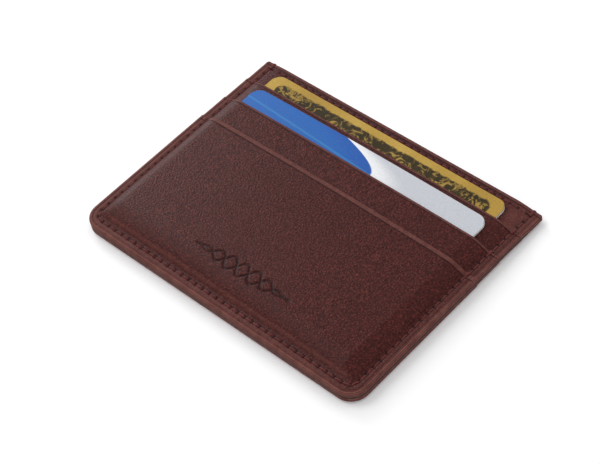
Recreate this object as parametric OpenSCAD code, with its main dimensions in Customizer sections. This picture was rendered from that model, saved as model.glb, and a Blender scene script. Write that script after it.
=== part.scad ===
// Slim leather card wallet: three staggered card slots on each side, a centre
// pocket that opens at the top, turned hems, sewn rim and two cards.
// X runs along the width, Y towards the card openings, Z up out of the front.
// The wallet lies on its back with its centre above the origin.

/* [Body] */
// Width over the sewn side edges
body_w = 101.6; // [98:0.1:140]
// Height from the bottom edge to the open top edge
body_h = 76.2; // [74:0.1:110]
// Radius of the two bottom corners
corner_r = 5.5; // [2:0.1:8]
// Radius of the two top corners
top_corner_r = 0.8; // [0.3:0.1:2]
// Width of the flat rim that the seam runs through
seam_w = 4; // [3.4:0.1:5]
// Width of the slope where the leather climbs from the rim over a card
slope_w = 2; // [1.5:0.1:2.4]

/* [Leather and lining] */
// Thickness of the two base panels
base_t = 0.5; // [0.4:0.05:1]
// Thickness of the lining, and of the turned hem that it meets
lining_t = 0.25; // [0.15:0.05:0.5]
// Thickness of the skived pocket panels
pocket_t = 0.3; // [0.25:0.05:0.8]
// Thickness of the two outer face panels
face_t = 0.4; // [0.3:0.05:0.9]
// Depth of the hem turned in along the top edge
hem_h = 7; // [5:0.5:10]

/* [Pockets] */
// Distance from the top edge down to the first pocket lip
first_lip = 9.2; // [8:0.1:12]
// Distance from one pocket lip down to the next
lip_pitch = 9.3; // [7:0.1:12]
// Gap inside an empty slot
slot_gap = 0.15; // [0.1:0.05:0.5]
// Gap inside the centre pocket
centre_gap = 0.3; // [0.2:0.05:1]
// Extra rise of the leather over the upper card, at the middle
upper_crown = 0.2; // [0:0.05:0.5]
// Bow of the lower card and of the leather over it, at the middle
lower_crown = 0.5; // [0.4:0.05:1]
// Extra rise of the front face panel, at the middle
face_crown = 0.2; // [0:0.05:0.6]

/* [Cards] */
// Card width
card_w = 85.6; // [80:0.1:86]
// Card height
card_h = 53.98; // [50:0.01:55]
// Card thickness
card_t = 0.76; // [0.5:0.01:1.2]
// Card corner radius
card_r = 3.18; // [2:0.01:5]
// Gap above and below a card in its slot
card_gap = 0.1; // [0.06:0.01:0.2]
// Gap from the upper card to the left wall of its slot
upper_side_gap = 1.2; // [0.3:0.1:2]
// Gap from the lower card to the left wall of its slot
lower_side_gap = 1.1; // [0.3:0.1:2]
// Distance from the top edge down to the top of the upper card
upper_drop = 3.2; // [1:0.1:5]
// Distance from the first lip down to the top of the lower card
lower_drop = 2.2; // [0.5:0.1:4]
// Gap from the bottom of a card to the slope that stops it
stop_gap = 0.4; // [0.3:0.1:1]

/* [Stitching] */
// Distance from the rim's edge in to the seam
seam_inset = 2.8; // [2:0.1:3.2]
// Distance from the top edge down to the hem stitching
hem_inset = 2.2; // [1.5:0.1:2.8]
// Length of one stitch from hole to hole
stitch_pitch = 2.6; // [2:0.1:4]
// Length of thread that shows in one stitch
stitch_len = 1.9; // [1.2:0.1:1.9]
// Radius of the seam thread
seam_thread_r = 0.18; // [0.1:0.01:0.2]
// Radius of the thread in the hems and the card stops
fine_thread_r = 0.15; // [0.1:0.01:0.16]
// Distance from the foot of a card stop down to its stitching
stop_inset = 0.9; // [0.6:0.1:1.2]

/* [Hidden] */

leather = [0.31, 0.19, 0.18];
lining = [0.16, 0.12, 0.11];
thread = [0.55, 0.32, 0.30];
touch = 0.01;       // air between a stitch and the leather under it
overhang = 1;       // sheets are made oversize, then cut to the outline
bond = 0.1;         // depth that the turned hem is fused into its panel
corner_steps = 8;   // points on each rounded corner of the leather
card_steps = 16;    // points on each rounded corner of a card
bow_steps = 24;     // strips across the bowed card

half_w = body_w / 2;
top_y = body_h / 2;
bottom_y = -top_y;
rim_x = half_w - seam_w;
flat_x = rim_x - slope_w;
rim_y = bottom_y + seam_w;
flat_y = rim_y + slope_w;

// Lips from the top one down, and the cards behind the first two
lips = [for (i = [0:2]) top_y - first_lip - i * lip_pitch];
upper_top = top_y - upper_drop;
lower_top = lips[0] - lower_drop;
stops = [upper_top - card_h - stop_gap, lower_top - card_h - stop_gap];
stop_rows = [for (s = stops) s - slope_w - stop_inset];
upper_x = card_w / 2 + upper_side_gap - flat_x;
lower_x = card_w / 2 + lower_side_gap - flat_x;

// Feet of the centre pocket and the three slots from the base panel outward,
// each as [height where the rise is full, height where it is nothing]
feet = [[flat_y, rim_y], [stops[0], stops[0] - slope_w],
        [stops[1], stops[1] - slope_w], [flat_y, rim_y]];
// The gaps in the same order, each as [rise all over, extra rise at the middle]
card_slot = card_t + 2 * card_gap;
front_gaps = [[centre_gap, 0], [card_slot, upper_crown],
              [card_slot, lower_crown - upper_crown], [slot_gap, face_crown]];
back_gaps = [[0, 0], [slot_gap, 0], [slot_gap, 0], [slot_gap, 0]];

// Height of each sheet's inner side above the middle plane, at the rim
base_z = lining_t;
upper_z = base_z + base_t;
middle_z = upper_z + pocket_t;
face_z = middle_z + pocket_t;
half_t = face_z + face_t;
mid_z = half_t + 3 * slot_gap;
cut_h = half_t + 4 * card_slot + 2 * overhang;

// Grid that every sheet shares, so that neighbours meet facet to facet
grid_x = concat([-half_w - overhang, -rim_x, -flat_x],
                [for (i = [-3:3]) lower_x + card_w / 2 * i / 3],
                [flat_x, rim_x, half_w + overhang]);
grid_y = [bottom_y - overhang, rim_y, flat_y, feet[2][1], feet[2][0],
          feet[1][1], feet[1][0]];

// 1 over the flat middle, falling to 0 at the rim
function across(x) = max(0, min(1, (rim_x - abs(x)) / slope_w));
function upward(y, foot) = max(0, min(1, (y - foot[1]) / (foot[0] - foot[1])));
function crown(x) = max(0, 1 - pow((x - lower_x) / (card_w / 2), 2));
// A sheet over n gaps stays up on the cards under it as far as its own foot
function foot(i, n) = i == 0 ? feet[0] : feet[n - 1];
function rise(gaps, i, n, x, y) =
    (gaps[i][0] + gaps[i][1] * crown(x)) * across(x) * upward(y, foot(i, n));
function lift(gaps, n, x, y, i = 0) =
    i == n ? 0 : rise(gaps, i, n, x, y) + lift(gaps, n, x, y, i + 1);
function arc(cx, cy, r, a0, n) = [for (i = [0:n]) let (a = a0 + 90 * i / n)
    [cx + r * cos(a), cy + r * sin(a)]];

// Rectangle with its top and bottom corners rounded
module rounded(x, top, bottom, top_r, bottom_r, steps) {
    polygon(concat(
        arc(x - top_r, top - top_r, top_r, 0, steps),
        arc(-x + top_r, top - top_r, top_r, 90, steps),
        arc(-x + bottom_r, bottom + bottom_r, bottom_r, 180, steps),
        arc(x - bottom_r, bottom + bottom_r, bottom_r, 270, steps)));
}

// Closed sheet over a grid, z above the middle plane and t thick
module draped(gaps, n, z, t, ys) {
    nx = len(grid_x);
    ny = len(ys);
    count = nx * ny;
    low = [for (y = ys, x = grid_x) [x, y, z + lift(gaps, n, x, y)]];
    high = [for (p = low) [p[0], p[1], p[2] + t]];
    cells = [for (j = [0:ny - 2], i = [0:nx - 2]) j * nx + i];
    polyhedron(concat(low, high), concat(
        [for (a = cells) [a + count, a + count + nx, a + count + nx + 1]],
        [for (a = cells) [a + count, a + count + nx + 1, a + count + 1]],
        [for (a = cells) [a, a + nx + 1, a + nx]],
        [for (a = cells) [a, a + 1, a + nx + 1]],
        [for (i = [0:nx - 2]) [i, i + count, i + count + 1, i + 1]],
        [for (i = [0:nx - 2]) let (a = count - nx + i) [a + 1, a + count + 1, a + count, a]],
        [for (j = [0:ny - 2]) let (a = j * nx) [a + nx, a + nx + count, a + count, a]],
        [for (j = [0:ny - 2]) let (a = j * nx + nx - 1) [a, a + count, a + count + nx, a + nx]]
    ));
}

// Sheet cut to the wallet's outline, from its lip down to the bottom edge
module panel(gaps, n, z, t, lip) {
    intersection() {
        draped(gaps, n, z, t, concat([for (y = grid_y) if (y < lip) y], [lip]));
        translate([0, 0, -overhang])
            linear_extrude(cut_h)
                rounded(half_w, top_y, bottom_y, top_corner_r, corner_r, corner_steps);
    }
}

// Strip of the same sheet between two heights, as a cutter or a hem
module strip(gaps, n, z, t, y0, y1) {
    draped(gaps, n, z, t, [y0, y1]);
}

// Channel that lets a row of fine thread lie flush in a panel's outer side
module channel(gaps, n, z, t, y, reach) {
    intersection() {
        strip(gaps, n, z + t - row_depth(t), t, y - 2 * fine_thread_r, y + 2 * fine_thread_r);
        translate([-reach, y - stitch_pitch / 2, -overhang])
            cube([2 * reach, stitch_pitch, cut_h]);
    }
}

// A row lies a thread's thickness deep in a base panel and less in a pocket panel
function row_depth(t) = min(2 * fine_thread_r + touch, t - pocket_t / 2);

// Straight row of fine stitches lying in its channel
module row(gaps, n, z, t, y, reach) {
    count = floor(2 * reach / stitch_pitch);
    for (i = [0:count - 1]) {
        x = (i - (count - 1) / 2) * stitch_pitch;
        ends = [for (s = [-1, 1]) lift(gaps, n, x + s * stitch_len / 2, y)];
        translate([x, y, z + t - row_depth(t) + max(ends) + fine_thread_r + touch])
            rotate([0, 90, 0])
                cylinder(r = fine_thread_r, h = stitch_len, center = true, $fn = 16);
    }
}

// Seam path: down the left side, round both corners and up the right side
seam_x = half_w - seam_inset;
seam_r = corner_r - seam_inset;
seam_side = top_y - hem_inset - (bottom_y + corner_r);
seam_arc = PI / 2 * seam_r;
seam_base = 2 * (half_w - corner_r);
seam_length = 2 * seam_side + 2 * seam_arc + seam_base;

// [x, y, heading] at a distance along the seam
function seam_at(s) =
    s < seam_side ? [-seam_x, top_y - hem_inset - s, -90]
    : s < seam_side + seam_arc ? corner_at(-1, (s - seam_side) / seam_arc)
    : s < seam_side + seam_arc + seam_base
        ? [s - seam_side - seam_arc - seam_base / 2, bottom_y + seam_inset, 0]
    : s < seam_length - seam_side
        ? corner_at(1, (s - seam_side - seam_arc - seam_base) / seam_arc)
    : [seam_x, s - seam_length + top_y - hem_inset, 90];
// A share of the way round a bottom corner, on the left (-1) or the right (1)
function corner_at(side, share) =
    let (a = side < 0 ? 180 + 90 * share : 270 + 90 * share)
    [side * (half_w - corner_r) + seam_r * cos(a),
     bottom_y + corner_r + seam_r * sin(a), a + 90];

// Height of the rim's outer side under a stitch whose low end is at y
function rim_top(y) = upper_z + (y < lips[0] ? pocket_t : 0)
    + (y < lips[1] ? pocket_t : 0) + (y < lips[2] ? face_t : 0);

module seam_stitches() {
    count = floor(seam_length / stitch_pitch);
    step = seam_length / count;
    for (i = [0:count - 1]) {
        p = seam_at((i + 0.5) * step);
        low_end = p[1] - abs(sin(p[2])) * stitch_len / 2;
        translate([p[0], p[1], rim_top(low_end) + seam_thread_r + touch])
            rotate([0, 90, p[2]])
                cylinder(r = seam_thread_r, h = stitch_len, center = true, $fn = 16);
    }
}

// Base panel with its top hem turned in, and a channel for the hem stitching
module base_panel(gaps) {
    hem_y = top_y - hem_inset;
    difference() {
        union() {
            panel(gaps, 1, base_z, base_t, top_y);
            intersection() {
                strip(gaps, 1, 0, base_z + bond, top_y - hem_h, top_y);
                translate([0, 0, -overhang])
                    linear_extrude(cut_h)
                        rounded(half_w, top_y, bottom_y, top_corner_r, corner_r, corner_steps);
            }
        }
        channel(gaps, 1, base_z, base_t, hem_y, seam_x);
    }
}

// Pocket panel with a channel for the stitching that stops a card
module pocket_panel(gaps, n, z, lip, row_y) {
    difference() {
        panel(gaps, n, z, pocket_t, lip);
        channel(gaps, n, z, pocket_t, row_y, flat_x);
    }
}

module card_outline() {
    rounded(card_w / 2, card_h / 2, -card_h / 2, card_r, card_r, card_steps);
}

// Slab bent along X, with its middle as high as the bow
module bowed_slab(bow) {
    radius = (pow(card_w / 2, 2) + pow(bow, 2)) / (2 * bow);
    reach = card_w / 2 + overhang;
    xs = [for (i = [0:bow_steps]) reach * (2 * i / bow_steps - 1)];
    under = [for (x = xs) [x, bow - radius + sqrt(pow(radius, 2) - pow(x, 2))]];
    over = [for (i = [bow_steps:-1:0]) under[i] + [0, card_t]];
    rotate([90, 0, 0])
        linear_extrude(card_h + 2 * overhang, center = true)
            polygon(concat(under, over));
}

module front() {
    translate([0, 0, mid_z]) children();
}

module back() {
    translate([0, 0, mid_z]) mirror([0, 0, 1]) children();
}

module front_centre_lining() {
    color(lining) front() panel(front_gaps, 1, 0, lining_t, top_y - hem_h);
}

module front_base_panel() {
    color(leather) front() base_panel(front_gaps);
}

module front_upper_pocket() {
    color(leather) front() pocket_panel(front_gaps, 2, upper_z, lips[0], stop_rows[0]);
}

module front_middle_pocket() {
    color(leather) front() pocket_panel(front_gaps, 3, middle_z, lips[1], stop_rows[1]);
}

module front_face_panel() {
    color(leather) front() panel(front_gaps, 4, face_z, face_t, lips[2]);
}

module back_centre_lining() {
    color(lining) back() panel(back_gaps, 1, 0, lining_t, top_y - hem_h);
}

module back_base_panel() {
    color(leather) back() base_panel(back_gaps);
}

module back_upper_pocket() {
    color(leather) back() pocket_panel(back_gaps, 2, upper_z, lips[0], stop_rows[0]);
}

module back_middle_pocket() {
    color(leather) back() pocket_panel(back_gaps, 3, middle_z, lips[1], stop_rows[1]);
}

module back_face_panel() {
    color(leather) back() panel(back_gaps, 4, face_z, face_t, lips[2]);
}

module front_hem_thread() {
    color(thread) front() row(front_gaps, 1, base_z, base_t, top_y - hem_inset, seam_x);
}

module back_hem_thread() {
    color(thread) back() row(back_gaps, 1, base_z, base_t, top_y - hem_inset, seam_x);
}

module front_upper_stop_thread() {
    color(thread) front() row(front_gaps, 2, upper_z, pocket_t, stop_rows[0], flat_x);
}

module front_middle_stop_thread() {
    color(thread) front() row(front_gaps, 3, middle_z, pocket_t, stop_rows[1], flat_x);
}

module back_upper_stop_thread() {
    color(thread) back() row(back_gaps, 2, upper_z, pocket_t, stop_rows[0], flat_x);
}

module back_middle_stop_thread() {
    color(thread) back() row(back_gaps, 3, middle_z, pocket_t, stop_rows[1], flat_x);
}

module front_seam_thread() {
    color(thread) front() seam_stitches();
}

module back_seam_thread() {
    color(thread) back() seam_stitches();
}

// Flat card in the top slot
module upper_card() {
    color([0.71, 0.58, 0.34])
        translate([upper_x, upper_top - card_h / 2, mid_z + upper_z + centre_gap + card_gap])
            linear_extrude(card_t) card_outline();
}

// Slightly bowed card in the middle slot
module lower_card() {
    color([0.24, 0.43, 0.72])
        translate([lower_x, lower_top - card_h / 2,
                   mid_z + middle_z + centre_gap + card_slot + card_gap])
            intersection() {
                bowed_slab(lower_crown);
                linear_extrude(card_t + lower_crown) card_outline();
            }
}

front_centre_lining();
front_base_panel();
front_upper_pocket();
front_middle_pocket();
front_face_panel();
back_centre_lining();
back_base_panel();
back_upper_pocket();
back_middle_pocket();
back_face_panel();
front_hem_thread();
back_hem_thread();
front_upper_stop_thread();
front_middle_stop_thread();
back_upper_stop_thread();
back_middle_stop_thread();
front_seam_thread();
back_seam_thread();
upper_card();
lower_card();
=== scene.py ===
import math

import bmesh
import bpy
import numpy as np
from mathutils import Matrix, Vector


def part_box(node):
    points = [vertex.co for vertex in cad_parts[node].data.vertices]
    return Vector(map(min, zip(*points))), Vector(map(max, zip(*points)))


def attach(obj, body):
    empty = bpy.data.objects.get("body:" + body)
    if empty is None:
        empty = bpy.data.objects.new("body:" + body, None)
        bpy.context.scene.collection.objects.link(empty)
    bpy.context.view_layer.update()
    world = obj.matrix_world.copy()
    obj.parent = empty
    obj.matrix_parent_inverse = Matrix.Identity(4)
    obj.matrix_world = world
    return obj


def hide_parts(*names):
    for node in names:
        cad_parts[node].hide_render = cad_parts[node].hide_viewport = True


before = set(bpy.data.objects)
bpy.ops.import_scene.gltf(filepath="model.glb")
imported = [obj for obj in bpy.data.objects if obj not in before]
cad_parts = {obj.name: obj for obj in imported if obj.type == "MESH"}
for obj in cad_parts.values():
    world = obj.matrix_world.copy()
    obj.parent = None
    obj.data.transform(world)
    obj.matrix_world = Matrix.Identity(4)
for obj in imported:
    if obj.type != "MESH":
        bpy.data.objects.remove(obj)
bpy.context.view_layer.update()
mm = 0.001


def edgeOf(node, side, axis):  # one coordinate of a CAD node's box, in millimetres
    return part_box(node)[side][axis] / mm


# Outline of the wallet and the heights that every piece shares, in millimetres
outline = {
    "halfWidth": edgeOf("front_face_panel", 1, 0),
    "top": edgeOf("front_base_panel", 1, 1),
    "bottom": edgeOf("front_face_panel", 0, 1),
    "middle": edgeOf("front_centre_lining", 0, 2),  # plane between the two halves
    "cornerRadius": 5.5,
    "topRadius": 0.8,
    "lips": [edgeOf(f"front_{n}", 1, 1) for n in ("upper_pocket", "middle_pocket", "face_panel")],
}
halfWidth = outline["halfWidth"]
topY = outline["top"]
bottomY = outline["bottom"]
middleZ = outline["middle"]
lips = outline["lips"]
arcX = halfWidth - outline["cornerRadius"]
arcY = bottomY + outline["cornerRadius"]
cardMiddle = (edgeOf("lower_card", 0, 0) + edgeOf("lower_card", 1, 0)) / 2
cardHalf = (edgeOf("lower_card", 1, 0) - edgeOf("lower_card", 0, 0)) / 2

# Thickness of the sheets, in millimetres
thickness = {"lining": 0.25, "base": 0.5, "pocket": 0.3, "face": 0.4}
baseTop = thickness["lining"] + thickness["base"]

# How the leather climbs from the sewn rim over the cards
climb = {
    "leftSide": (-48.05, -43.85),    # where the rise starts and where it is complete
    "rightSide": (47.6, 42.15),
    "seamFoot": (-34.1, -32.1),
    "upperFoot": (-21.48, -19.48),
    "middleFoot": (-29.68, -27.68),
    "faceFoot": (-34.7, -27.6),
}

# Rise of each gap and its extra rise at the middle, from the centre pocket outward
frontGaps = [(0.3, 0.0), (0.96, 0.2), (0.96, 0.3), (0.15, 0.2)]
backGaps = [(0.0, 0.0), (0.15, 0.0), (0.15, 0.0), (0.15, 0.0)]

# Sewing: the seam round the rim and the row along each turned hem
sewing = {
    "seamInset": 2.8,
    "hemInset": 2.2,
    "hemEndGap": 1.2,
    "pitch": 2.6,
    "seamRadius": 0.24,
    "hemRadius": 0.18,
    "holeWidth": 0.432,
    "hemHoleWidth": 0.3,
    "holeDepth": 0.42,
    "seamDip": 0.9,          # how far a stitch goes down into its holes
    "hemDip": 0.55,
    "seamSunk": 0.06,        # how far its middle lies under the leather's face
    "hemSunk": 0.1,
    "plyTurn": 1.1,          # length over which the two plies turn once
}


def smooth(t):
    t = np.clip(t, 0.0, 1.0)
    return t * t * (3 - 2 * t)


def bell(distance, width):
    return np.exp(-((distance / width) ** 2))


def ripple(x, y, seed):  # slow unevenness of hand-worked leather, between -1 and 1
    a = np.sin(x * 0.131 + 0.9 * seed) * np.cos(y * 0.173 + 1.7 * seed)
    b = np.sin(x * 0.067 - y * 0.113 + 2.3 * seed)
    c = np.sin(x * 0.29 + y * 0.21 + 0.6 * seed)
    return 0.45 * a + 0.35 * b + 0.2 * c


def pillow(t, power):  # quick at first, then rounding off towards the full height
    t = np.clip(t, 0.0, 1.0)
    return (1 - (1 - t) ** power) * smooth(t / 0.22)


def across(x):
    left, right = climb["leftSide"], climb["rightSide"]
    fromLeft = pillow((x - left[0]) / (left[1] - left[0]), 1.5)
    fromRight = pillow((right[0] - x) / (right[0] - right[1]), 1.25)
    return fromLeft * fromRight


def droop(x, y):  # the top right corner hangs a little, as the card stops short of it
    return 0.6 * smooth((x - 42.3) / 9.5) * smooth((y - 20) / 17)


def upward(y, foot):
    return smooth((y - foot[0]) / (foot[1] - foot[0]))


def crown(x):
    return np.maximum(0.0, 1 - ((x - cardMiddle) / cardHalf) ** 2)


def lift(gaps, count, x, y):  # rise of a sheet that lies over that many gaps
    feet = [climb["seamFoot"], climb["upperFoot"], climb["middleFoot"], climb["faceFoot"]]
    total = 0.0
    for i in range(count):
        foot = feet[0] if i == 0 else feet[count - 1]
        rise, extra = gaps[i]
        climbing = upward(y, foot)
        if i > 0 and count == 4:
            climbing = pillow((y - foot[0]) / (foot[1] - foot[0]), 1.7)
        total = total + (rise + extra * crown(x)) * across(x) * climbing
    return total


def rimTop(y):  # height of the rim's outer side above the middle plane
    height = baseTop
    for lip, rise in zip(lips, (thickness["pocket"], thickness["pocket"], thickness["face"])):
        height = height + rise * smooth((lip + 0.04 - y) / 0.12)
    return height


# The seam is measured along its run: down the left side, along the bottom and up the right
seamX = halfWidth - sewing["seamInset"]
seamArc = outline["cornerRadius"] - sewing["seamInset"]
seamTop = topY - sewing["hemInset"]
sideRun = seamTop - arcY
arcRun = math.pi / 2 * seamArc
baseRun = 2 * arcX
seamRun = 2 * sideRun + 2 * arcRun + baseRun
stitchCount = int(seamRun / sewing["pitch"])
seamStep = seamRun / stitchCount


def seamPoint(s):  # place on the seam at a distance from its top left end
    if s < sideRun:
        return -seamX, seamTop - s
    if s < sideRun + arcRun:
        a = math.pi + (s - sideRun) / seamArc
        return -arcX + seamArc * math.cos(a), arcY + seamArc * math.sin(a)
    if s < sideRun + arcRun + baseRun:
        return s - sideRun - arcRun - arcX, bottomY + sewing["seamInset"]
    if s < seamRun - sideRun:
        a = math.pi * 1.5 + (s - sideRun - arcRun - baseRun) / seamArc
        return arcX + seamArc * math.cos(a), arcY + seamArc * math.sin(a)
    return seamX, seamTop - (seamRun - s)


holes = np.array([seamPoint(i * seamStep) for i in range(stitchCount + 1)])
hemEnd = seamX - sewing["hemEndGap"]
hemCount = int(2 * hemEnd / sewing["pitch"])
hemStep = 2 * hemEnd / hemCount
hemHoles = np.array([(-hemEnd + i * hemStep, seamTop) for i in range(hemCount + 1)])
aroundHole = (-0.42, -0.24, -0.1, 0.1, 0.24, 0.42)


def spaced(values, low, high, least):  # sorted values with both ends, none too near
    kept = [low]
    for v in sorted(values):
        if v - kept[-1] >= least and high - v >= least:
            kept.append(float(v))
    return kept + [high]


def holeSamples(places):
    return [p + o for p in places for o in aroundHole]


# Rows of points: inward from a sheet's edge, down from its lip, and where it climbs over the cards
ringRows = [0, 0.1, 0.25, 0.45, 0.7, 0.88, 1.02, 1.12, 1.2, 1.28, 1.38, 1.52, 1.8, 2.15,
            2.4, 2.56, 2.7, 2.8, 2.9, 3.04, 3.2, 3.5, 3.85, 4.15, 4.4, 4.6, 4.75, 4.9, 5.05, 5.25, 5.5]
coarseRows = [0, 0.25, 0.7, 1.2, 1.8, 2.8, 3.5, 4.0, 4.5, 5.0, 5.5]
lipOffsets = [0.04, 0.1, 0.18, 0.3, 0.42, 0.54, 0.64, 0.74, 0.84, 0.94, 1.04, 1.14, 1.24, 1.34, 1.44,
              1.54, 1.64, 1.8, 2.1, 2.6]
slopeRows = [-33.4, -31.2, -29, -28.2, -27.4, -21.2, -20.5, -19.8]
leastGap = 0.075
edgeShares = [0.0, 0.07, 0.18, 0.34, 0.55, 0.78, 0.93, 1.0]
# painted shade on the edge of each sheet, darkest next to the joints between layers
edgeShades = [0.95, 0.55, 0.0, 0.0, 0.55, 0.95]  # darkening of the edge rows between the first and last

sheetLook = {
    "rimCrease": 1.2,        # distance of the creased line from the rim's edge
    "creaseDepth": 0.1,
    "creaseWidth": 0.15,
    "lipCrease": 1.45,
    "lipCreaseDepth": 0.15,
    "lipCreaseWidth": 0.14,
    "channelDepth": 0.09,    # shallow groove that the seam lies in
    "channelWidth": 0.34,
    "hemLineDepth": 0.12,
    "hemLineWidth": 0.22,
    "hemTurn": 6.9,          # width of the leather that is turned in at the top
    "hemEase": 0.2,
    "rimPuff": 0.05,         # swelling between a crease and the edge
    "lipPuff": 0.04,
    "foldPuff": 0.04,
    "foldRise": 4.75,        # height above the bottom edge where the face folds out of the seam
    "foldWidth": 0.5,
    "pressDepth": 0.32,
    "rimRound": 0.32,        # radius that the burnished edge is worn to
    "rimHollow": 0.1,        # the edge is drawn in at its faces and at the centre pocket
    "layerGroove": 0.09,     # between one layer of leather and the next
    "deepestInset": 0.55,
    "lipRound": 0.13,
}

# How pale each place is, between 0 and 1: lip and rim are real wear, the rim is kept less pale at the right
# as painted shade, the fold is a painted highlight and the corner is painted sheen
wearAndPaintedLight = {"lip": 0.38, "rim": 0.3, "rimAtRightShaded": 0.13, "fold": 0.3, "corner": 0.3}

braid = {
    "middle": (1.2, -25.9),
    "halfLength": 17.6,
    "taper": 13,
    "swing": 2.3,
    "crossing": 4.4,         # distance between two crossings
    "strandWidth": 0.32,
}


def ornament(x, y):  # braid of two waves that narrows to both ends, pressed into the face
    u = x - braid["middle"][0]
    v = y - braid["middle"][1]
    fromEnd = braid["halfLength"] - np.abs(u)
    reach = braid["swing"] * smooth(fromEnd / braid["taper"])
    turn = math.pi / braid["crossing"]
    swing = reach * np.cos(u * turn)
    steep = np.sqrt(1 + (reach * turn * np.sin(u * turn)) ** 2)
    one = bell((v - swing) / steep, braid["strandWidth"])
    other = bell((v + swing) / steep, braid["strandWidth"])
    return np.maximum(one, other) * smooth(fromEnd / 0.6)


def rounding(depth, radius):  # inset of a rounded corner at a depth below its top
    near = np.clip(radius - depth, 0, radius)
    return radius - np.sqrt(radius**2 - near**2)


def sheetGrid(xs, ys, angles, rows):
    # A plain grid, with a ring of rows round it along the U-shaped edge
    stations = [(-1, y, None) for y in reversed(ys)]
    stations += [("left", None, a) for a in angles[1:-1]]
    stations += [(0, x, None) for x in xs]
    stations += [("right", None, a) for a in angles[1:-1]]
    stations += [(1, y, None) for y in ys]
    x0 = len(xs)
    y0 = len(ys)
    place = []
    inward = []
    depth = []
    for j in range(y0):
        for i in range(x0):
            place.append((xs[i], ys[j]))
            inward.append((0.0, 0.0))
            depth.append(outline["cornerRadius"])

    def gridIndex(kind, order):
        if kind == -1:
            return (y0 - 1 - order) * x0
        if kind == "left":
            return 0
        if kind == 0:
            return order - y0 - len(angles) + 2
        if kind == "right":
            return x0 - 1
        return (order - y0 - 2 * (len(angles) - 2) - x0) * x0 + x0 - 1

    ring = []
    for order, (kind, value, angle) in enumerate(stations):
        column = []
        for d in rows[:-1]:
            if kind == -1:
                point, way = (-halfWidth + d, value), (1.0, 0.0)
            elif kind == 1:
                point, way = (halfWidth - d, value), (-1.0, 0.0)
            elif kind == 0:
                point, way = (value, bottomY + d), (0.0, 1.0)
            else:
                side = -1 if kind == "left" else 1
                turn = math.pi + angle if side < 0 else 1.5 * math.pi + angle
                c, s = math.cos(turn), math.sin(turn)
                r = outline["cornerRadius"] - d
                point, way = (side * arcX + r * c, arcY + r * s), (-c, -s)
            column.append(len(place))
            place.append(point)
            inward.append(way)
            depth.append(d)
        column.append(gridIndex(kind, order))
        ring.append(column)
    faces = []
    for a, b in zip(ring, ring[1:]):
        for j in range(len(rows) - 1):
            face = [a[j], a[j + 1], b[j + 1], b[j]]
            face = [v for k, v in enumerate(face) if v not in face[:k]]
            if len(face) > 2:
                faces.append(face)
    for j in range(y0 - 1):
        for i in range(x0 - 1):
            a = j * x0 + i
            faces.append([a, a + 1, a + 1 + x0, a + x0][::-1])
    loop = [c[0] for c in ring]
    loop += ring[-1][1:]
    loop += [(y0 - 1) * x0 + i for i in range(x0 - 2, 0, -1)]
    loop += ring[0][:0:-1]
    return np.array(place), np.array(inward), np.array(depth), faces, loop


def meshObject(name, points, faces, marks=None):
    mesh = bpy.data.meshes.new(name)
    mesh.from_pydata([tuple(p) for p in points * mm], [], faces)
    for label, values in (marks or {}).items():
        layer = mesh.attributes.new(label, "FLOAT", "POINT")
        layer.data.foreach_set("value", np.asarray(values, np.float32))
    work = bmesh.new()
    work.from_mesh(mesh)
    bmesh.ops.recalc_face_normals(work, faces=work.faces)
    work.to_mesh(mesh)
    work.free()
    mesh.shade_smooth()
    piece = bpy.data.objects.new(name, mesh)
    bpy.context.scene.collection.objects.link(piece)
    return piece


def closedShell(name, topPoints, lowPoints, edgePoints, faces, loop, marks, edgeMarks):
    # Top sheet, its underside and the rows of the edge between them
    n = len(topPoints)
    count = len(loop)
    points = [topPoints, lowPoints] + edgePoints
    allFaces = list(faces) + [[v + n for v in f][::-1] for f in faces]
    rows = [list(loop)]
    for k in range(len(edgePoints)):
        rows.append([2 * n + k * count + i for i in range(count)])
    rows.append([v + n for v in loop])
    for a, b in zip(rows, rows[1:]):
        for i in range(count):
            j = (i + 1) % count
            allFaces.append([a[i], a[j], b[j], b[i]])
    joined = {k: np.concatenate([marks[k], marks[k] * 0] + edgeMarks[k]) for k in marks}
    return meshObject(name, np.vstack(points), allFaces, joined)


def sheetLines(spec):  # columns and rows of a sheet's grid, closer where it has detail
    lip = spec["lip"]
    shownFrom = spec["shownFrom"]
    ys = list(np.arange(arcY, lip, spec["coarse"]))
    ys += [f + o for f in slopeRows for o in (0, 0.5)]
    ys += [lip - o for o in lipOffsets]
    ys += [arcY + o for o in (0.2, 0.5, 0.9, 1.4, 1.9)]
    xs = list(np.arange(-arcX, arcX, spec["coarse"]))
    if spec["detail"]:
        sideHoles = [h[1] for h in holes[: stitchCount // 2] if h[1] > arcY]
        ys += holeSamples(v for v in sideHoles if shownFrom < v < lip)
        if shownFrom < arcY:
            xs += holeSamples(h[0] for h in holes if h[1] < bottomY + 3 and abs(h[0]) < arcX)
    if spec["hem"]:
        xs += holeSamples(h[0] for h in hemHoles if abs(h[0]) < arcX)
        ys += [seamTop + o for o in (-0.6, -0.35, -0.2, -0.07, 0.07, 0.2, 0.35, 0.6)]
        ys += [lip - sheetLook["hemTurn"], lip - sheetLook["hemTurn"] - sheetLook["hemEase"]]
    if spec["ornament"]:
        xs += list(np.arange(braid["middle"][0] - 18, braid["middle"][0] + 18, 0.22))
        ys += list(np.arange(braid["middle"][1] - 2.9, braid["middle"][1] + 3, 0.22))
    return spaced(xs, -arcX, arcX, leastGap), spaced(ys, arcY, lip, leastGap)


def toNearest(x, y, places):
    return np.hypot(x[:, None] - places[None, :, 0], y[:, None] - places[None, :, 1]).min(axis=1)


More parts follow.
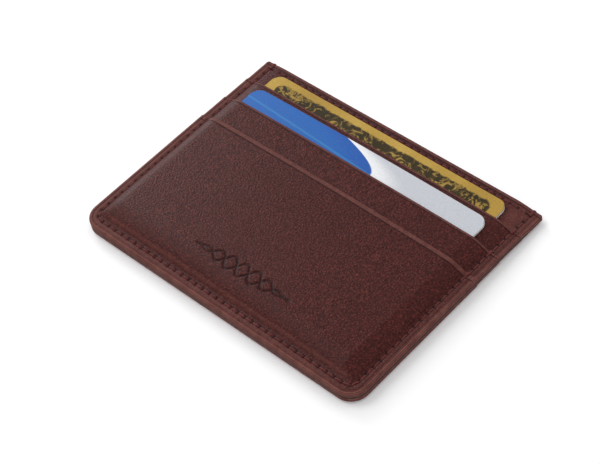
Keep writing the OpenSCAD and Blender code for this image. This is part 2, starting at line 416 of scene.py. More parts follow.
def workedLines(spec, x, y, edgeDistance):  # how strongly each line, hole or fold marks a point
    under = spec["lip"] - y
    inView = smooth((y - spec["shownFrom"] + 0.3) / 0.2)
    none = np.zeros(len(x))
    lines = {
        "inView": inView,
        "rim": bell(edgeDistance - sheetLook["rimCrease"], sheetLook["creaseWidth"]) * inView,
        "lip": bell(under - spec["lipCrease"], sheetLook["lipCreaseWidth"]) * spec["creased"],
        "channel": bell(edgeDistance - sewing["seamInset"], sheetLook["channelWidth"]) * inView,
        "hole": none,
        "hem": none,
        "fold": none,
        "pressed": ornament(x, y) if spec["ornament"] else none,
    }
    if spec["detail"]:
        near = holes[(holes[:, 1] < spec["lip"]) & (holes[:, 1] > spec["shownFrom"])]
        lines["hole"] = bell(toNearest(x, y, near), sewing["holeWidth"])
    if spec["hem"]:
        lines["hem"] = bell(y - seamTop, sheetLook["hemLineWidth"]) * smooth((seamX - np.abs(x)) / 0.6)
        hemHole = bell(toNearest(x, y, hemHoles), sewing["hemHoleWidth"])
        lines["hole"] = np.maximum(lines["hole"], hemHole)
    if spec["gaps"] == 4:
        fold = bell(y - bottomY - sheetLook["foldRise"], sheetLook["foldWidth"])
        lines["fold"] = fold * smooth((halfWidth - 4 - np.abs(x)) / 4)
    return lines


def reliefOf(spec, lines, under, edgeDistance):  # height of the worked surface over the plain sheet
    relief = sheetLook["rimPuff"] * bell(edgeDistance - 0.65, 0.35) * lines["inView"]
    relief = relief + sheetLook["lipPuff"] * bell(under - 0.75, 0.4) * spec["creased"]
    relief = relief + sheetLook["foldPuff"] * lines["fold"]
    relief = relief - sheetLook["creaseDepth"] * lines["rim"] - sheetLook["lipCreaseDepth"] * lines["lip"]
    relief = relief - sheetLook["channelDepth"] * lines["channel"] - sheetLook["hemLineDepth"] * lines["hem"]
    relief = relief - min(sewing["holeDepth"], spec["thick"] * 0.8) * lines["hole"]
    relief = relief - sheetLook["pressDepth"] * lines["pressed"]
    return np.maximum(relief, -0.85 * spec["thick"])


def tonesOf(spec, lines, x, y, under, edgeDistance):  # real wear, painted highlight and sheen, and painted shade, for the material
    lipBand = smooth((spec["lipCrease"] - 0.02 - under) / 0.3) * spec["creased"]
    # pale burnish on the rim is real wear; it is made less pale towards the right as painted shade
    burnishAndShade = wearAndPaintedLight["rim"] - (wearAndPaintedLight["rim"] - wearAndPaintedLight["rimAtRightShaded"]) * smooth((x - 38) / 8)
    rimWearAndPaintedLight = np.maximum(smooth(1 - edgeDistance / 0.8), burnishAndShade * smooth((2.9 - edgeDistance) / 0.8))
    rimWearAndPaintedLight = rimWearAndPaintedLight * lines["inView"]
    if spec["hem"]:  # painted sheen: the top right corner of the hem is made paler
        rimWearAndPaintedLight = np.maximum(rimWearAndPaintedLight, wearAndPaintedLight["corner"] * smooth((x - 39) / 6) * smooth((y - 24) / 6))
    # painted shade in the rim and lip creases, the stitch holes, the seam channel, the hem line and the
    # pressed braid
    paintedShade = 0.22 * lines["rim"] + 0.95 * lines["lip"] + 1.7 * lines["hole"] + 0.15 * lines["channel"]
    paintedShade = paintedShade + 0.4 * lines["hem"] + 0.8 * lines["pressed"]
    return {
        # real wear on lips, rim and edges, a painted highlight along the fold above the bottom seam, and
        # painted sheen on the top right corner
        "wearAndPaintedLightTone": np.maximum(np.maximum(wearAndPaintedLight["lip"] * lipBand, rimWearAndPaintedLight), wearAndPaintedLight["fold"] * lines["fold"]),
        "creaseShade": np.clip(paintedShade, 0, 1),
    }


def roundTopCorners(x, y):
    r = outline["topRadius"]
    u = np.clip(np.abs(x) - (halfWidth - r), 0, r)
    v = np.clip(y - (topY - r), 0, r)
    inCorner = (u > 0) & (v > 0)
    roundX = np.sign(x) * (halfWidth - r + u * np.sqrt(1 - v**2 / (2 * r * r)))
    roundY = topY - r + v * np.sqrt(1 - u**2 / (2 * r * r))
    return np.where(inCorner, roundX, x), np.where(inCorner, roundY, y)


def leatherSheet(name, spec):
    gaps = frontGaps if spec["side"] > 0 else backGaps
    xs, ys = sheetLines(spec)
    angles = list(np.linspace(0, math.pi / 2, 17 if spec["shownFrom"] < arcY else 9))
    rows = ringRows if spec["detail"] else coarseRows
    place, inward, depth, faces, loop = sheetGrid(xs, ys, angles, rows)
    x, y = place[:, 0], place[:, 1]
    under = spec["lip"] - y
    inRing = depth < outline["cornerRadius"]
    edgeDistance = np.where(inRing, depth, 9.0)
    # Heights above the middle plane: the plain sheet, then its worked surface
    rise = lift(gaps, spec["gaps"], x, y)
    wave = spec["wave"] * (0.5 + 0.5 * ripple(x, y, spec["gaps"]))
    rise = rise + wave * across(x) * upward(y, climb["faceFoot"])
    low = spec["inner"] + rise
    if spec["hem"]:  # the turned edge fills the height down to the middle
        turned = sheetLook["hemTurn"] + sheetLook["hemEase"] - under
        low = low - spec["inner"] * smooth(turned / sheetLook["hemEase"])
    lines = workedLines(spec, x, y, edgeDistance)
    high = spec["inner"] + spec["thick"] + rise + reliefOf(spec, lines, under, edgeDistance)
    # The rim is worn round where the sheet is the outermost one
    outer = rimTop(y)
    sideShare = np.where(inRing, np.maximum(0, 1 - edgeDistance / 0.8), 0)
    lipShare = np.maximum(0, 1 - under / 0.45)
    if spec["hem"]:
        x, y = roundTopCorners(x, y)

    def placeAt(z, share, who):
        half = np.clip(z / np.maximum(outer[who], 0.1), 0, 1)
        inset = rounding(outer[who] - z, sheetLook["rimRound"])
        inset = inset + sheetLook["rimHollow"] * ((2 * half - 1) ** 2 + bell(z, 0.1))
        groove = sheetLook["layerGroove"] * (bell(share, 0.08) + bell(1 - share, 0.08))
        inset = inset + groove * (z < outer[who] - 0.06)
        inset = np.minimum(inset, sheetLook["deepestInset"]) * sideShare[who]
        span = spec["thick"] + (spec["inner"] if spec["hem"] else 0)
        back = rounding(span * share, spec["lipRound"]) + rounding(span * (1 - share), spec["lipRound"])
        px = x[who] + inward[who, 0] * inset
        py = y[who] + inward[who, 1] * inset - back * lipShare[who]
        return np.column_stack([px, py, middleZ + spec["side"] * z - droop(px, py)])

    everyone = np.arange(len(x))
    loopIds = np.array(loop)
    topPoints = placeAt(high, 0.0, everyone)
    lowPoints = placeAt(low, 1.0, everyone)
    edgeRows = []
    for share in edgeShares[1:-1]:
        z = high[loopIds] * (1 - share) + low[loopIds] * share
        edgeRows.append(placeAt(z, share, loopIds))
    # the edge faces take the pale edge colour, with painted shade next to the joints between layers
    edgeMarks = {
        "wearAndPaintedLightTone": [np.ones(len(loop))] * len(edgeRows),
        "creaseShade": [np.full(len(loop), shade) for shade in edgeShades],
    }
    marks = tonesOf(spec, lines, x, y, under, edgeDistance)
    piece = closedShell(name, topPoints, lowPoints, edgeRows, faces, loop, marks, edgeMarks)
    print(name, len(piece.data.vertices), "points")
    return piece


def newMaterial(name):
    material = bpy.data.materials.new(name)
    material.use_nodes = True
    tree = material.node_tree
    shader = tree.nodes["Principled BSDF"]
    return material, tree, shader


def add(tree, kind, inputs=None, **settings):
    made = tree.nodes.new(kind)
    for key, value in settings.items():
        setattr(made, key, value)
    for key, value in (inputs or {}).items():
        if isinstance(value, bpy.types.NodeSocket):
            tree.links.new(value, made.inputs[key])
        else:
            made.inputs[key].default_value = value
    return made


def maths(tree, operation, a, b=0.0, c=0.0):
    return add(tree, "ShaderNodeMath", {0: a, 1: b, 2: c}, operation=operation).outputs[0]


def mapRange(tree, value, fromLow, fromHigh, toLow, toHigh):
    made = add(tree, "ShaderNodeMapRange", {"Value": value, "From Min": fromLow, "From Max": fromHigh,
                                            "To Min": toLow, "To Max": toHigh}, clamp=True)
    made.interpolation_type = "SMOOTHSTEP"
    return made.outputs["Result"]


def mixColour(tree, share, a, b, blend="MIX"):
    made = tree.nodes.new("ShaderNodeMix")
    made.data_type = "RGBA"
    made.blend_type = blend
    for key, value in ((0, share), (6, a), (7, b)):
        if isinstance(value, bpy.types.NodeSocket):
            tree.links.new(value, made.inputs[key])
        else:
            made.inputs[key].default_value = value
    return made.outputs[2]


def roughen(tree, shader, height, strength, deepest):  # raised surface, its depth in millimetres
    bump = add(tree, "ShaderNodeBump", {"Height": height, "Strength": strength, "Distance": deepest * mm})
    tree.links.new(bump.outputs["Normal"], shader.inputs["Normal"])


def linear(r, g, b):  # a colour given as it shows on a screen
    return tuple([((c / 255 + 0.055) / 1.055) ** 2.4 if c > 10 else c / 3294.6 for c in (r, g, b)] + [1.0])


def noise(tree, where, scale, detail=3.0, rough=0.5):
    inputs = {"Vector": where, "Scale": scale, "Detail": detail, "Roughness": rough}
    return add(tree, "ShaderNodeTexNoise", inputs).outputs["Fac"]


def ramp(tree, value, stops):
    made = add(tree, "ShaderNodeValToRGB", {"Fac": value})
    bar = made.color_ramp
    while len(bar.elements) < len(stops):
        bar.elements.new(0.5)
    for element, (position, colour) in zip(bar.elements, stops):
        element.position = position
        element.color = colour
    return made.outputs["Color"]


leatherLook = {
    "dark": (56, 16, 14),
    "mid": (78, 28, 24),
    "light": (108, 48, 42),
    # pale colour of worn edges, also used for the painted highlight and sheen
    "edge": (142, 90, 82),
    # darkest colour: leather pores, and the painted shade in creases, holes and joints
    "crease": (22, 8, 8),
    "broadScale": 55.0,
    "middleScale": 420.0,
    "fineScale": 2000.0,
    "poreSize": 0.55,
    "poreShade": 0.45,
    "rough": (0.28, 0.38),
    "edgeRough": 0.38,
    "poreRough": 0.08,
    "specular": 0.13,
    "grainHeight": 0.1,
}


def leatherMaterial():
    material, tree, shader = newMaterial("reddish_brown_leather")
    spot = add(tree, "ShaderNodeTexCoord").outputs["Object"]
    broad = noise(tree, spot, leatherLook["broadScale"], 4.0, 0.55)
    middle = noise(tree, spot, leatherLook["middleScale"], 3.0, 0.6)
    fine = noise(tree, spot, leatherLook["fineScale"], 4.0, 0.7)
    pores = add(tree, "ShaderNodeTexVoronoi", {"Vector": spot, "Scale": 1000 / leatherLook["poreSize"]},
                feature="F1")
    pore = mapRange(tree, pores.outputs["Distance"], 0.1, 0.75, 0.0, 1.0)
    blend = maths(tree, "ADD", maths(tree, "MULTIPLY", broad, 0.06), maths(tree, "MULTIPLY", middle, 0.04))
    blend = maths(tree, "ADD", blend, maths(tree, "MULTIPLY", fine, 0.9))
    colour = ramp(tree, blend, [(0.4, linear(*leatherLook["dark"])), (0.51, linear(*leatherLook["mid"])),
                                (0.62, linear(*leatherLook["light"]))])
    shaded = maths(tree, "MULTIPLY", pore, leatherLook["poreShade"])
    colour = mixColour(tree, shaded, colour, linear(*leatherLook["crease"]))
    # pale tone: real wear, with painted highlight and sheen
    edge = add(tree, "ShaderNodeAttribute", attribute_name="wearAndPaintedLightTone").outputs["Fac"]
    crease = add(tree, "ShaderNodeAttribute", attribute_name="creaseShade").outputs["Fac"]
    wearAndPaintedLightShare = maths(tree, "MULTIPLY", edge, mapRange(tree, middle, 0.3, 0.7, 0.55, 0.95))
    colour = mixColour(tree, wearAndPaintedLightShare, colour, linear(*leatherLook["edge"]))
    # painted shade in creases, holes, grooves, the pressed braid and the joints between layers
    colour = mixColour(tree, maths(tree, "MULTIPLY", crease, 0.9), colour, linear(*leatherLook["crease"]))
    tree.links.new(colour, shader.inputs["Base Color"])
    rough = mapRange(tree, fine, 0.3, 0.7, *leatherLook["rough"])
    rough = maths(tree, "MULTIPLY_ADD", edge, leatherLook["edgeRough"], rough)
    rough = maths(tree, "ADD", rough, maths(tree, "MULTIPLY", pore, leatherLook["poreRough"]))
    tree.links.new(rough, shader.inputs["Roughness"])
    shader.inputs["Specular IOR Level"].default_value = leatherLook["specular"]
    height = maths(tree, "SUBTRACT", maths(tree, "MULTIPLY", fine, 0.6), maths(tree, "MULTIPLY", pore, 0.5))
    height = maths(tree, "ADD", height, maths(tree, "MULTIPLY", middle, 0.35))
    roughen(tree, shader, height, 1.0, leatherLook["grainHeight"])
    return material


liningLook = {
    "dark": (38, 27, 26),
    "light": (62, 46, 43),
    "rough": (0.7, 0.9),
    "sheen": 0.25,
    "weave": 0.28,
    "weaveHeight": 0.03,
}


def liningMaterial():
    material, tree, shader = newMaterial("dark_lining_cloth")
    spot = add(tree, "ShaderNodeTexCoord").outputs["Object"]
    parts = add(tree, "ShaderNodeSeparateXYZ", {"Vector": spot})
    turn = 2 * math.pi / (liningLook["weave"] * mm)
    warp = maths(tree, "SINE", maths(tree, "MULTIPLY", parts.outputs["X"], turn))
    weft = maths(tree, "SINE", maths(tree, "MULTIPLY", parts.outputs["Y"], turn))
    weave = maths(tree, "MULTIPLY_ADD", maths(tree, "MULTIPLY", warp, weft), 0.5, 0.5)
    slub = noise(tree, spot, 900.0, 2.0)
    share = maths(tree, "MULTIPLY_ADD", weave, 0.6, maths(tree, "MULTIPLY", slub, 0.4))
    colour = mixColour(tree, share, linear(*liningLook["dark"]), linear(*liningLook["light"]))
    tree.links.new(colour, shader.inputs["Base Color"])
    tree.links.new(mapRange(tree, slub, 0.2, 0.8, *liningLook["rough"]), shader.inputs["Roughness"])
    shader.inputs["Sheen Weight"].default_value = liningLook["sheen"]
    roughen(tree, shader, weave, 0.5, liningLook["weaveHeight"])
    return material


threadLook = {
    "dark": (62, 26, 25),
    "light": (126, 62, 58),
    "rough": (0.6, 0.8),
    "specular": 0.2,
    "sheen": 0.05,
    "fibreHeight": 0.03,
}


def threadMaterial():
    material, tree, shader = newMaterial("waxed_thread")
    spot = add(tree, "ShaderNodeTexCoord").outputs["Object"]
    hair = noise(tree, spot, 4200.0, 2.0, 0.6)
    broad = noise(tree, spot, 160.0, 2.0)
    share = maths(tree, "MULTIPLY_ADD", hair, 0.7, maths(tree, "MULTIPLY", broad, 0.3))
    colour = ramp(tree, share, [(0.3, linear(*threadLook["dark"])), (0.7, linear(*threadLook["light"]))])
    tree.links.new(colour, shader.inputs["Base Color"])
    tree.links.new(mapRange(tree, hair, 0.3, 0.7, *threadLook["rough"]), shader.inputs["Roughness"])
    shader.inputs["Specular IOR Level"].default_value = threadLook["specular"]
    shader.inputs["Sheen Weight"].default_value = threadLook["sheen"]
    roughen(tree, shader, hair, 0.5, threadLook["fibreHeight"])
    return material


leather = leatherMaterial()
liningCloth = liningMaterial()
waxedThread = threadMaterial()


def dress(piece, material, body, nodes):
    piece.data.materials.clear()
    piece.data.materials.append(material)
    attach(piece, body)
    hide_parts(*nodes)


def sheetSpec(side, gaps, inner, thick, lip, shownFrom, **changes):
    spec = {
        "side": side,
        "gaps": gaps,            # how many gaps lie under the sheet
        "inner": inner,          # height of its underside on the rim
        "thick": thick,
        "lip": lip,
        "shownFrom": shownFrom,  # rim lines, holes and wear begin above this place
        "coarse": 1.3,
        "detail": True,
        "hem": False,
        "ornament": False,
        "wave": 0.0,
        "creased": 1.0,
        "lipCrease": sheetLook["lipCrease"],
        "lipRound": sheetLook["lipRound"],
    }
    spec.update(changes)
    return spec


def sideSheets(word, side):  # every sheet of one side, from the middle outward
    front = side > 0
    pocket = thickness["pocket"]
    middleInner = baseTop + pocket
    faceInner = middleInner + pocket
    liningTop = topY - 7
    nowhere = topY + 50
    everywhere = bottomY - 1
    return {
        f"{word}_centre_lining_cloth": sheetSpec(
            side, 1, 0.0, thickness["lining"], liningTop, nowhere,
            detail=False, coarse=3.0, creased=0.0, lipRound=0.05),
        f"{word}_base_leather": sheetSpec(
            side, 1, thickness["lining"], thickness["base"], topY, lips[0] - 1,
            hem=True, lipRound=0.34, lipCrease=1.15),
        f"{word}_upper_pocket_leather": sheetSpec(
            side, 2, baseTop, pocket, lips[0], lips[1] - 1,
            lipCrease=0.74, wave=0.015 if front else 0.0),
        f"{word}_middle_pocket_leather": sheetSpec(
            side, 3, middleInner, pocket, lips[1], lips[2] - 1,
            lipCrease=0.84, wave=0.03 if front else 0.0),
        f"{word}_face_leather": sheetSpec(
            side, 4, faceInner, thickness["face"], lips[2], everywhere,
            wave=0.05 if front else 0.0, ornament=front, lipRound=0.17),
    }


nodeFor = {"centre_lining_cloth": "centre_lining", "base_leather": "base_panel",
           "upper_pocket_leather": "upper_pocket", "middle_pocket_leather": "middle_pocket",
           "face_leather": "face_panel"}

for word, side in (("front", 1), ("back", -1)):
    for name, spec in sideSheets(word, side).items():
        piece = leatherSheet(name, spec)
        node = word + "_" + nodeFor[name[len(word) + 1:]]
        if "lining" in name:
            dress(piece, liningCloth, "wallet", [node])
        else:
            dress(piece, leather, "wallet", [node])
print("leather and lining done")


def tubeRings(path, radius, lobes, twist):
    # Twisted two-ply thread: an oval section that turns along the path
    path = np.asarray(path, float)
    along = np.gradient(path, axis=0)
    along /= np.linalg.norm(along, axis=1)[:, None]
    up = np.array([0.0, 0.0, 1.0])
    sideways = np.cross(along, up)
    sideways /= np.maximum(np.linalg.norm(sideways, axis=1), 1e-6)[:, None]
    over = np.cross(sideways, along)
    run = np.concatenate([[0], np.cumsum(np.linalg.norm(np.diff(path, axis=0), axis=1))])
    rings = []
    for p, s, o, r in zip(path, sideways, over, run):
        ring = []
        for k in range(lobes):
            a = 2 * math.pi * k / lobes
            swell = radius * (0.78 + 0.22 * abs(math.cos(a - twist * r)))
            ring.append(p + swell * (math.cos(a) * s + math.sin(a) * o))
        rings.append(ring)
    return rings


def threadPiece(name, paths, radius, body, nodes):
    points = []
    faces = []
    lobes = 12
    for path in paths:
        path = np.array(path)
        path[:, 2] -= droop(path[:, 0], path[:, 1])
        rings = tubeRings(path, radius, lobes, 2 * math.pi / sewing["plyTurn"])
        first = len(points)
        for ring in rings:
            points += ring
        for i in range(len(rings) - 1):
            for k in range(lobes):
                a = first + i * lobes + k
                b = first + i * lobes + (k + 1) % lobes
                faces.append([a, b, b + lobes, a + lobes])
        faces.append([first + k for k in range(lobes)][::-1])
        faces.append([first + (len(rings) - 1) * lobes + k for k in range(lobes)])
    piece = meshObject(name, np.array(points), faces)
    print(name, len(points), "points")
    dress(piece, waxedThread, body, nodes)


def stitchPath(a, b, heightAt, dip, side):
    path = []
    for f in np.linspace(0, 1, 13):
        x = a[0] + (b[0] - a[0]) * f
        y = a[1] + (b[1] - a[1]) * f
        z = heightAt(x, y) - dip * abs(2 * f - 1) ** 4
        path.append((x, y, middleZ + side * z))
    return path


# Thread carried over the top edge: its heights above the middle plane, the radius of its bend and
# half the space between its two turns
topWrap = {"start": 0.45, "height": 0.8, "bend": 0.3, "drop": 0.48, "end": 0.02, "apart": 0.16}

# A tack over the end of a lip: distance past the lip and height above the leather there
tackOnLip = [(-0.95, -0.3), (-0.8, 0.06), (-0.4, 0.13), (-0.05, 0.12), (0.16, -0.06)]
tackPastLip = [(0.3, 0.08), (0.55, 0.05), (0.7, -0.25)]
tackApart = 0.2


def wrapPath(x, side):
    bend = topWrap["bend"]
    path = [(x, seamTop + 0.1, topWrap["start"])]
    for f in np.linspace(0, 1, 9):
        path.append((x, seamTop + 0.2 + f * (topY - seamTop - bend - 0.2), topWrap["height"]))
    for a in np.radians(np.linspace(15, 90, 6)):
        z = topWrap["height"] - topWrap["drop"] * (1 - math.cos(a))
        path.append((x, topY - bend + bend * math.sin(a), z))
    path.append((x, topY, topWrap["end"]))
    return [(px, py, middleZ + side * z) for px, py, z in path]


def tackPath(x, lip, side):
    onLip = float(rimTop(lip - 1))
    pastLip = float(rimTop(lip + 1))
    path = [(x, lip + run, middleZ + side * (onLip + z)) for run, z in tackOnLip]
    path += [(x, lip + run, middleZ + side * (pastLip + z)) for run, z in tackPastLip]
    return path


def sewSide(word, side, gaps):
    def onRim(x, y):
        return float(rimTop(y)) - sewing["seamSunk"]

    def onHem(x, y):
        return baseTop + float(lift(gaps, 1, np.array(x), np.array(y))) - sewing["hemSunk"]

    paths = [stitchPath(a, b, onRim, sewing["seamDip"], side) for a, b in zip(holes, holes[1:])]
    for x in (-seamX, seamX):
        paths += [wrapPath(x + shift, side) for shift in (-topWrap["apart"], topWrap["apart"])]
    for lip in lips:
        for x in (-seamX, seamX):
            paths += [tackPath(x + shift, lip, side) for shift in (-tackApart, tackApart)]
    threadPiece(f"{word}_seam_stitches", paths, sewing["seamRadius"], "wallet", [f"{word}_seam_thread"])
    paths = [stitchPath(a, b, onHem, sewing["hemDip"], side) for a, b in zip(hemHoles, hemHoles[1:])]
    threadPiece(f"{word}_hem_stitches", paths, sewing["hemRadius"], "wallet", [f"{word}_hem_thread"])


sewSide("front", 1, frontGaps)
sewSide("back", -1, backGaps)

for node in ("front_upper_stop_thread", "front_middle_stop_thread",
             "back_upper_stop_thread", "back_middle_stop_thread"):
    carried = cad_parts[node]
    carried.data.materials.clear()
    carried.data.materials.append(waxedThread)
print("thread done")

cardLook = {
    "thick": 0.76,
    "radius": 3.18,
    "edgeRound": 0.09,
    "bow": 0.5,              # the lower card is arched by this much
    "goldDark": (150, 118, 52),
    "gold": (178, 144, 64),
    "goldLight": (204, 174, 96),
    "bandDark": (16, 14, 9),
    "bandMid": (70, 57, 28),
    "bandLight": (158, 128, 60),
    "bandHalf": (37.0, 22.4),
    "bandCorner": (1.9, 2.5),
    "blue": (30, 97, 176),
    "blueDeep": (26, 76, 164),
    "blueLight": (56, 132, 190),
    "silver": (198, 201, 208),
    "white": (240, 241, 243),
    "fleck": (120, 124, 134),
    "core": (238, 237, 234),
    "borderTop": 27.0,       # where the blue field's border starts, above the card's middle
    "borderRun": 7.0,        # how far down it curves
    "borderBend": -0.3,
    "borderSlope": 4.2,
    "borderShift": 8.0,
    "stripeAt": 20.4,
    "specular": 0.2,
    "rough": (0.3, 0.42),
    "scuffDepth": 0.02,
}


def cardPiece(name, node, bow):
    low, high = (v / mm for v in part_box(node))
    w = (high.x - low.x) / 2
    h = (high.y - low.y) / 2
    cx = (high.x + low.x) / 2
    cy = (high.y + low.y) / 2
    thick = cardLook["thick"]
    r = cardLook["radius"]
    corner = [w - r + r * math.sin(a) for a in np.linspace(0, math.pi / 2, 15)]
    xs = sorted(set([-c for c in corner] + corner + list(np.linspace(-w + r, w - r, 41)[1:-1])))
    ys = np.concatenate([[-1, -0.995, -0.98], np.linspace(-0.95, 0.95, 21), [0.98, 0.995, 1]])
    points = []
    for v in ys:
        for x in xs:
            over = max(0.0, abs(x) - (w - r))
            reach = h - r + math.sqrt(max(0.0, r * r - over * over))
            points.append((cx + x, cy + v * reach))
    place = np.array(points)
    nx, ny = len(xs), len(ys)
    faces = [[j * nx + i, j * nx + i + 1, (j + 1) * nx + i + 1, (j + 1) * nx + i]
             for j in range(ny - 1) for i in range(nx - 1)]
    loop = list(range(nx)) + [j * nx + nx - 1 for j in range(1, ny)]
    loop += [(ny - 1) * nx + i for i in range(nx - 2, -1, -1)] + [j * nx for j in range(ny - 2, 0, -1)]
    ids = np.array(loop)
    rim = place[ids]
    tangent = np.roll(rim, -1, axis=0) - np.roll(rim, 1, axis=0)
    outward = np.column_stack([tangent[:, 1], -tangent[:, 0]])
    outward /= np.linalg.norm(outward, axis=1)[:, None]
    if bow:
        radius = (w * w + bow * bow) / (2 * bow)
        base = low.z + bow - radius + np.sqrt(radius**2 - (place[:, 0] - cx) ** 2)
    else:
        base = np.full(len(place), low.z)
    full = np.zeros((len(place), 2))
    full[ids] = outward

    def rowAt(share, who):
        depth = min(share, 1 - share) * thick
        inset = float(rounding(np.array(depth), cardLook["edgeRound"]))
        spot = place[who] - full[who] * inset
        return np.column_stack([spot, base[who] + thick * (1 - share)])

    everyone = np.arange(len(place))
    edges = [rowAt(s, ids) for s in (0.02, 0.06, 0.12, 0.3, 0.5, 0.7, 0.88, 0.94, 0.98)]
    top = rowAt(0.0, everyone)
    bottom = rowAt(1.0, everyone)
    marks = {"coreTone": np.zeros(len(place))}
    edgeMarks = {"coreTone": [np.full(len(loop), t) for t in (0, 0.3, 1, 1, 1, 1, 1, 0.3, 0)]}
    return closedShell(name, top, bottom, edges, faces, loop, marks, edgeMarks)


def onCard(tree, spot, cx, cy):  # place on a card in millimetres from its middle
    parts = add(tree, "ShaderNodeSeparateXYZ", {"Vector": spot})
    x = maths(tree, "MULTIPLY_ADD", parts.outputs["X"], 1 / mm, -cx)
    y = maths(tree, "MULTIPLY_ADD", parts.outputs["Y"], 1 / mm, -cy)
    return x, y


def cardMiddleOf(node):
    low, high = (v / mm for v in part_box(node))
    return (low.x + high.x) / 2, (low.y + high.y) / 2


def finishCard(tree, shader, colour, spot):
    core = add(tree, "ShaderNodeAttribute", attribute_name="coreTone").outputs["Fac"]
    colour = mixColour(tree, core, colour, linear(*cardLook["core"]))
    tree.links.new(colour, shader.inputs["Base Color"])
    scuff = noise(tree, spot, 700.0, 3.0, 0.6)
    tree.links.new(mapRange(tree, scuff, 0.3, 0.7, *cardLook["rough"]), shader.inputs["Roughness"])
    shader.inputs["Specular IOR Level"].default_value = cardLook["specular"]
    roughen(tree, shader, scuff, 0.15, cardLook["scuffDepth"])


def goldCardMaterial():
    material, tree, shader = newMaterial("gold_card_print")
    spot = add(tree, "ShaderNodeTexCoord").outputs["Object"]
    x, y = onCard(tree, spot, *cardMiddleOf("upper_card"))
    broad = noise(tree, spot, 40.0, 3.0)
    grain = noise(tree, spot, 3000.0, 2.0, 0.7)
    share = maths(tree, "MULTIPLY_ADD", broad, 0.6, maths(tree, "MULTIPLY", grain, 0.4))
    colour = ramp(tree, share, [(0.3, linear(*cardLook["goldDark"])), (0.5, linear(*cardLook["gold"])),
                                (0.72, linear(*cardLook["goldLight"]))])
    # Mottled panel with rounded ends that starts a little below the card's top edge
    sideways = maths(tree, "SUBTRACT", maths(tree, "ABSOLUTE", x), cardLook["bandHalf"][0])
    upwards = maths(tree, "SUBTRACT", maths(tree, "ABSOLUTE", y), cardLook["bandHalf"][1])
    sx = maths(tree, "MAXIMUM", sideways, 0.0)
    sy = maths(tree, "MAXIMUM", upwards, 0.0)
    squares = maths(tree, "ADD", maths(tree, "MULTIPLY", sx, sx), maths(tree, "MULTIPLY", sy, sy))
    far = maths(tree, "SQRT", squares)
    ragged = noise(tree, spot, 620.0, 3.0, 0.7)
    far = maths(tree, "ADD", far, maths(tree, "MULTIPLY_ADD", ragged, 1.6, -0.8))
    panel = mapRange(tree, far, *cardLook["bandCorner"], 1.0, 0.0)
    swirl = add(tree, "ShaderNodeTexNoise", {"Vector": spot, "Scale": 330.0, "Detail": 4.0,
                                             "Roughness": 0.7, "Distortion": 1.8}).outputs["Fac"]
    mottle = ramp(tree, swirl, [(0.5, linear(*cardLook["bandDark"])), (0.535, linear(*cardLook["bandMid"])),
                                (0.58, linear(*cardLook["bandLight"]))])
    fringe = maths(tree, "MULTIPLY", mapRange(tree, far, 0.2, 1.4, 0.0, 1.0),
                   mapRange(tree, swirl, 0.4, 0.58, 1.0, 0.25))
    mottle = mixColour(tree, fringe, mottle, linear(*cardLook["bandDark"]))
    colour = mixColour(tree, maths(tree, "MULTIPLY", panel, 0.94), colour, mottle)
    finishCard(tree, shader, colour, spot)
    return material


def blueCardMaterial():
    material, tree, shader = newMaterial("blue_and_silver_card_print")
    spot = add(tree, "ShaderNodeTexCoord").outputs["Object"]
    x, y = onCard(tree, spot, *cardMiddleOf("lower_card"))
    # A plain blue field that gives way to silver along one slow curve
    down = maths(tree, "SUBTRACT", cardLook["borderTop"], y)
    sweep = maths(tree, "MINIMUM", down, cardLook["borderRun"])
    slope = maths(tree, "MULTIPLY_ADD", sweep, cardLook["borderBend"], cardLook["borderSlope"])
    bend = maths(tree, "MULTIPLY", sweep, slope)
    border = maths(tree, "ADD", maths(tree, "SUBTRACT", x, bend), cardLook["borderShift"])
    field = mapRange(tree, border, -0.35, 0.35, 1.0, 0.0)
    fade = mapRange(tree, border, 0.0, 13.0, 0.0, 1.0)
    pale = mixColour(tree, fade, linear(*cardLook["white"]), linear(*cardLook["silver"]))
    deep = mapRange(tree, border, -18.0, 0.0, 0.0, 0.55)
    blue = mixColour(tree, deep, linear(*cardLook["blue"]), linear(*cardLook["blueDeep"]))
    slant = maths(tree, "ADD", maths(tree, "MULTIPLY", x, 0.06), y)
    fromStripe = maths(tree, "ABSOLUTE", maths(tree, "SUBTRACT", slant, cardLook["stripeAt"]))
    stripe = mapRange(tree, fromStripe, 0.1, 0.5, 0.6, 0.0)
    blue = mixColour(tree, stripe, blue, linear(*cardLook["blueLight"]))
    colour = mixColour(tree, field, pale, blue)
    speck = noise(tree, spot, 2600.0, 3.0, 0.7)
    flecked = mapRange(tree, speck, 0.42, 0.64, 0.0, 0.16)
    colour = mixColour(tree, flecked, colour, linear(*cardLook["fleck"]))
    finishCard(tree, shader, colour, spot)
    return material


upperCard = cardPiece("upper_gold_card", "upper_card", 0.0)
dress(upperCard, goldCardMaterial(), "upper_card_body", ["upper_card"])
lowerCard = cardPiece("lower_blue_card", "lower_card", cardLook["bow"])
dress(lowerCard, blueCardMaterial(), "lower_card_body", ["lower_card"])
print("cards done")

paperLook = {
    "colour": (0.96, 0.96, 0.965, 1),
    "glow": (0.92, 0.96, 1, 1),
    "glowStrength": 0.1,
    "rough": 0.9,
    "specular": 0.1,
}
floorMesh = bpy.data.meshes.new("floor")
floorMesh.from_pydata([(-3, -3, 0), (3, -3, 0), (3, 3, 0), (-3, 3, 0)], [], [(0, 1, 2, 3)])
floor = bpy.data.objects.new("floor", floorMesh)
bpy.context.scene.collection.objects.link(floor)
floor.location.z = -0.03 * mm
paper, _, paperShader = newMaterial("pale_paper")
paperShader.inputs["Base Color"].default_value = paperLook["colour"]
paperShader.inputs["Emission Color"].default_value = paperLook["glow"]
paperShader.inputs["Emission Strength"].default_value = paperLook["glowStrength"]
paperShader.inputs["Roughness"].default_value = paperLook["rough"]
paperShader.inputs["Specular IOR Level"].default_value = paperLook["specular"]
floorMesh.materials.append(paper)

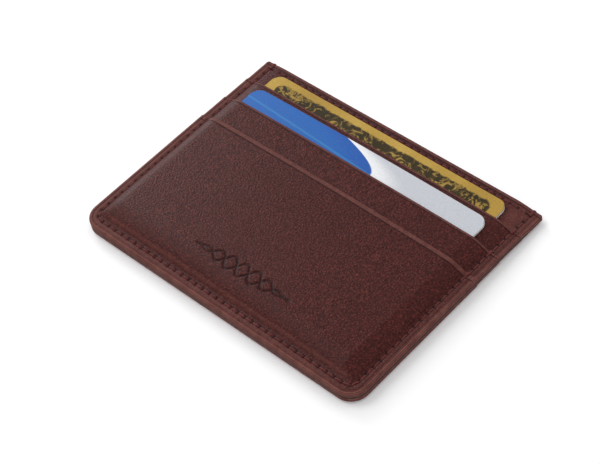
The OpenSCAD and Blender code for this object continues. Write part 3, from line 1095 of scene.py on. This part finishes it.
# Lamps are discs that point at the origin, with places and sizes in metres
worldStrength = 0.65
lamps = {
    "key_light": {"way": (-0.84, 0.30, 0.42), "far": 0.8, "size": 0.4, "power": 2.2},
    "side_light": {"way": (-0.56, -0.16, 0.79), "far": 0.9, "size": 0.56, "power": 2.3},
    "rear_light": {"way": (0.2, 0.42, 0.88), "far": 0.9, "size": 0.5, "power": 0.5},
}
world = bpy.data.worlds.new("studio")
bpy.context.scene.world = world
world.use_nodes = True
sky = world.node_tree.nodes["Background"]
sky.inputs["Color"].default_value = (1.0, 1.0, 1.0, 1)
sky.inputs["Strength"].default_value = worldStrength


def softLight(name, way, far, size, power):
    light = bpy.data.lights.new(name, "AREA")
    light.shape = "DISK"
    light.size = size
    light.energy = power
    lamp = bpy.data.objects.new(name, light)
    bpy.context.scene.collection.objects.link(lamp)
    lamp.location = Vector(way).normalized() * far
    lamp.rotation_mode = "QUATERNION"
    lamp.rotation_quaternion = (-Vector(way)).to_track_quat("-Z", "Y")


for name, lamp in lamps.items():
    softLight(name, **lamp)

# Camera, in degrees and millimetres
shot = {
    "azimuth": 52.231,
    "elevation": 49.035,
    "roll": -12.365,
    "far": 489.22,
    "target": (-0.13, -3.393, 0.0),
    "lens": 108.07,
}
az = math.radians(shot["azimuth"])
el = math.radians(shot["elevation"])
roll = math.radians(shot["roll"])
back = Vector((math.sin(az) * math.cos(el), -math.cos(az) * math.cos(el), math.sin(el)))
level = Vector((math.cos(az), math.sin(az), 0))
upright = back.cross(level)
right = level * math.cos(roll) + upright * math.sin(roll)
up = upright * math.cos(roll) - level * math.sin(roll)
cameraData = bpy.data.cameras.new("camera")
cameraData.lens = shot["lens"]
cameraData.sensor_width = 36
cameraData.clip_start = 0.01
camera = bpy.data.objects.new("camera", cameraData)
bpy.context.scene.collection.objects.link(camera)
turn = Matrix((right, up, back)).transposed()
eye = (Vector(shot["target"]) + back * shot["far"]) * mm
camera.matrix_world = Matrix.Translation(eye) @ turn.to_4x4()
bpy.context.scene.camera = camera
bpy.context.scene.view_settings.view_transform = "Standard"
print("floor, light and camera done")
